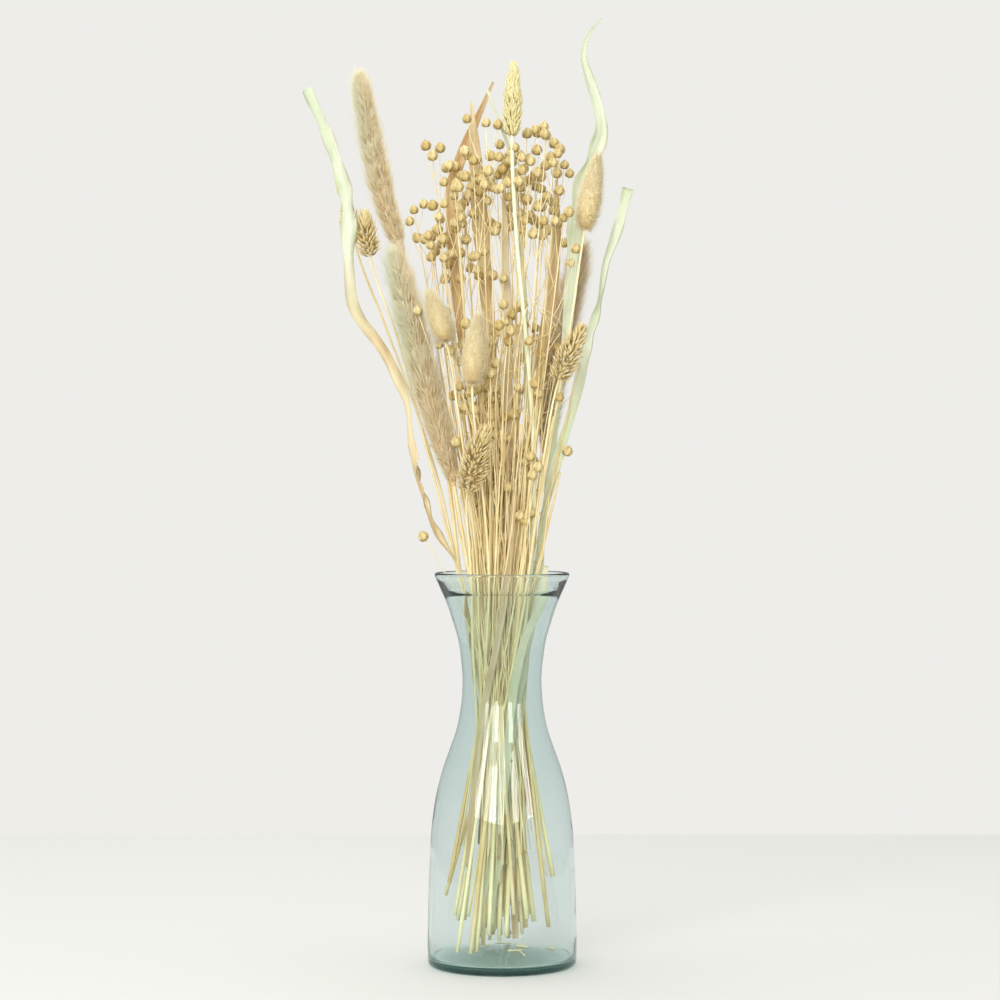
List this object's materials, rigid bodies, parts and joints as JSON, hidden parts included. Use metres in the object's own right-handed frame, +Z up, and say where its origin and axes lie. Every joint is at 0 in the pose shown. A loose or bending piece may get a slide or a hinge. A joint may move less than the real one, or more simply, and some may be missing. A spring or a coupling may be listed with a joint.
{
  "type": "dried grass bouquet in a glass carafe vase",
  "caption": "Dried bunch of foxtail grass, bunny tails, canary grass, flax seed heads and long leaves, standing in a flared blue-green glass carafe.",
  "frame": {"origin": "middle of the carafe's flat underside, where it rests", "axes": "+Z up along the carafe's axis, +X to the right and -Y towards a person facing the front of the bunch"},
  "size_m": [0.222, 0.1024, 0.649],
  "materials": {
    "glass": "gloss",
    "plume": "matte",
    "bunny_tail": "matte",
    "canary_grass": "matte",
    "flax": "matte",
    "pale_leaf": "matte",
    "tan_leaf": "matte"
  },
  "bodies": {
    "root": {"bunny_tail_front": "bunny_tail", "bunny_tail_left": "bunny_tail", "bunny_tail_right": "bunny_tail", "canary_grass_front": "canary_grass", "canary_grass_left": "canary_grass", "canary_grass_left_back": "canary_grass", "canary_grass_right": "canary_grass", "canary_grass_top": "canary_grass", "carafe": "glass", "flax_01": "flax", "flax_02": "flax", "flax_03": "flax", "flax_04": "flax", "flax_05": "flax", "flax_06": "flax", "flax_07": "flax", "flax_08": "flax", "flax_09": "flax", "flax_10": "flax", "flax_11": "flax", "flax_12": "flax", "flax_13": "flax", "flax_14": "flax", "flax_15": "flax", "flax_16": "flax", "flax_17": "flax", "flax_18": "flax", "flax_19": "flax", "flax_20": "flax", "flax_21": "flax", "flax_22": "flax", "flax_23": "flax", "flax_24": "flax", "flax_25": "flax", "flax_26": "flax", "flax_27": "flax", "flax_28": "flax", "flax_29": "flax", "flax_30": "flax", "flax_31": "flax", "flax_32": "flax", "flax_33": "flax", "flax_34": "flax", "flax_35": "flax", "flax_36": "flax", "foxtail_back": "plume", "foxtail_low": "plume", "foxtail_tall": "plume", "leaf_broad": "tan_leaf", "leaf_left": "pale_leaf", "leaf_middle": "tan_leaf", "leaf_pointed": "tan_leaf", "leaf_right": "pale_leaf", "leaf_right_tall": "pale_leaf", "leaf_tan": "tan_leaf", "leaf_thin": "pale_leaf"}
  },
  "joints": []
}
